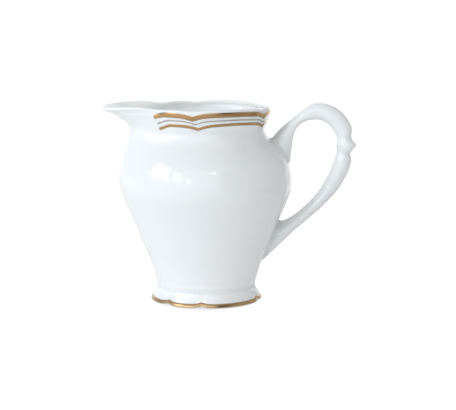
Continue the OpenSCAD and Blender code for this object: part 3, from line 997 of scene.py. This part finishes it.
def paper():
    """White paper, brighter on the spout's side than by the handle."""
    m = Nodes("paper")
    tint = m.blend(m.ramp(m.noise(3, 2), 0.3, 0.7), rgb(0.68, 0.69, 0.7), rgb(0.7, 0.7, 0.7))
    x = m.add("ShaderNodeSeparateXYZ", Vector=m.coords()).outputs["X"]
    m.set(Base_Color=tint, Roughness=0.9, Specular_IOR_Level=0.1,
          Emission_Color=rgb(0.97, 1.0, 1.03),
          Emission_Strength=m.ramp(x, -0.03, 0.08, 0.27, 0.1))
    return m.material


def paper_sheen():
    """The paper as the glaze and the metals mirror it: dimmer far off on the handle's side, with
    one brighter patch behind the handle."""
    m = Nodes("paper_sheen")
    place = m.add("ShaderNodeSeparateXYZ", Vector=m.coords()).outputs
    behind = m.ramp(m.math("SUBTRACT", place["Y"], place["X"]), -0.06, -0.04)
    behind = m.math("MULTIPLY", behind, m.ramp(place["X"], 0.12, 0.17, 0.0, 0.7))
    across = m.math("ADD", m.ramp(place["X"], -0.5, 0.25, 1.15, 0.65),
                    m.ramp(place["X"], 0.25, 0.45, 0.0, -0.25))
    m.set(Base_Color=rgb(0, 0, 0), Roughness=1.0, Specular_IOR_Level=0.0,
          Emission_Color=rgb(1, 1, 1), Emission_Strength=m.math("ADD", across, behind))
    return m.material


def floor():
    """Three sheets: one bounces light, one is mirrored in the jug, and the camera sees one."""
    bounce = sheet("floor_paper", -0.0004, paper())
    bounce.visible_glossy = False
    mirrored = sheet("floor_sheen", -0.0003, paper_sheen())
    mirrored.visible_camera = False
    mirrored.visible_diffuse = False
    seen = sheet("floor_ground", -0.0002, emission("clean_ground", rgb(1, 1, 1), 1.1))
    seen.visible_diffuse = False
    seen.visible_glossy = False
    for obj in (mirrored, seen):
        obj.visible_transmission = False
        obj.visible_shadow = False


floor()

# axis, place on it, further place, light at the first, light at the second; the parts add up
ROOM_LIGHT = (
    ("X", -1.0, 0.0, 0.847, 0.832),
    ("X", -0.1, 1.0, 0.0, -0.65),
    ("X", 0.65, 1.0, 0.0, 0.3),
    ("Y", -1.0, 0.0, 0.57, 0.0),
    ("Y", 0.62, 0.85, 0.0, 0.35),
    ("Z", 0.15, 0.9, 0.0, -0.29),
)
SPOUT_SIDE_TINT = rgb(0.9, 0.995, 1.08)
HANDLE_SIDE_TINT = rgb(1.0, 0.99, 0.955)


def world():
    """A pale room: bright on the camera's side and behind the jug, dim on the handle's side."""
    scene_world = bpy.data.worlds.new("studio")
    bpy.context.scene.world = scene_world
    scene_world.use_nodes = True
    tree = scene_world.node_tree
    split = tree.nodes.new("ShaderNodeSeparateXYZ")
    tree.links.new(tree.nodes.new("ShaderNodeTexCoord").outputs["Generated"], split.inputs[0])

    def part(axis, *numbers):
        node = tree.nodes.new("ShaderNodeMapRange")
        for key, value in zip(("From Min", "From Max", "To Min", "To Max"), numbers):
            node.inputs[key].default_value = value
        tree.links.new(split.outputs[axis], node.inputs["Value"])
        return node.outputs[0]

    total = part(*ROOM_LIGHT[0])
    for row in ROOM_LIGHT[1:]:
        add = tree.nodes.new("ShaderNodeMath")
        tree.links.new(total, add.inputs[0])
        tree.links.new(part(*row), add.inputs[1])
        total = add.outputs[0]
    tint = tree.nodes.new("ShaderNodeMix")
    tint.data_type = "RGBA"
    tree.links.new(part("X", -0.8, 0.8, 0.0, 1.0), tint.inputs["Factor"])
    tint.inputs[6].default_value = SPOUT_SIDE_TINT
    tint.inputs[7].default_value = HANDLE_SIDE_TINT
    back = tree.nodes["Background"]
    tree.links.new(tint.outputs[2], back.inputs["Color"])
    tree.links.new(total, back.inputs["Strength"])


world()

SHOULDER = Vector((-0.018, -0.038, 0.07))
PANE_DISTANCE = 1.7
# name, corners, brightness in the glaze, brightness as light on the paste. A corner is an azimuth
# and an elevation seen from the jug's shoulder; azimuth turns from the camera's side towards the
# spout's.
PANES = (
    ("window_wide", ((79, 13.5), (50.5, 10.5), (58.5, 43), (87, 49)), 4.3, 3.0),
    ("window_narrow", ((43.5, 13), (31.5, 11), (33.5, 29), (48.5, 35)), 3.8, 3.0),
    ("window_slit", ((25, 11.5), (19.5, 11), (19.5, 17.5), (26, 19.5)), 5.4, 3.6),
    ("lamp_left", ((14, 34), (7, 34), (7, 37), (14, 37)), 20.0, None),
    ("lamp_right", ((-3, 34), (-17, 34), (-17, 37.4), (-3, 37.4)), 10.0, None),
    ("curtain", ((-23, 3), (-50, 3), (-50, 36), (-23, 36)), 0.12, None),
    ("wall_right", ((-72, -4), (-132, -4), (-132, 45), (-72, 45)), 0.72, None),
    ("wall_far", ((-150, 40), (-150, 6), (-131, -1), (-131, -4), (-178, -4), (-178, 40)),
     1.3, None),
)


def pane(name, corners, shine, glow):
    """A window pane, lamp or wall: one sheet that only mirrors see, and where it has a glow,
    one that only lights the paste."""
    points = []
    for azimuth, elevation in corners:
        az, el = math.radians(azimuth), math.radians(elevation)
        way = Vector((-math.sin(az) * math.cos(el), -math.cos(az) * math.cos(el), math.sin(el)))
        points.append(tuple(SHOULDER + way * PANE_DISTANCE))
    for end, strength in (("_shine", shine), ("_glow", glow)):
        if strength is None:
            continue
        mesh = bpy.data.meshes.new(name + end)
        mesh.from_pydata(points, [], [tuple(range(len(points)))])
        mesh.materials.append(emission(name + end, rgb(0.96, 0.98, 1.0), strength))
        obj = staged(name + end, mesh)
        obj.visible_camera = False
        obj.visible_glossy = end == "_shine"
        obj.visible_diffuse = end == "_glow"
        obj.visible_transmission = False
        obj.visible_shadow = False


for row in PANES:
    pane(*row)

CAMERA_PLACE = (0.0113, -0.772, 0.1662)
CAMERA_TILT_DOWN = 8.6
CAMERA_LENS = 118.6
CAMERA_SENSOR = 36.0


def camera():
    cam = bpy.data.cameras.new("camera")
    cam.lens = CAMERA_LENS
    cam.sensor_width = CAMERA_SENSOR
    cam.clip_start, cam.clip_end = 0.01, 100.0
    obj = bpy.data.objects.new("camera", cam)
    obj.location = CAMERA_PLACE
    obj.rotation_euler = (math.radians(90 - CAMERA_TILT_DOWN), 0, 0)
    bpy.context.scene.collection.objects.link(obj)
    bpy.context.scene.camera = obj


camera()
bpy.context.scene.view_settings.view_transform = "Standard"
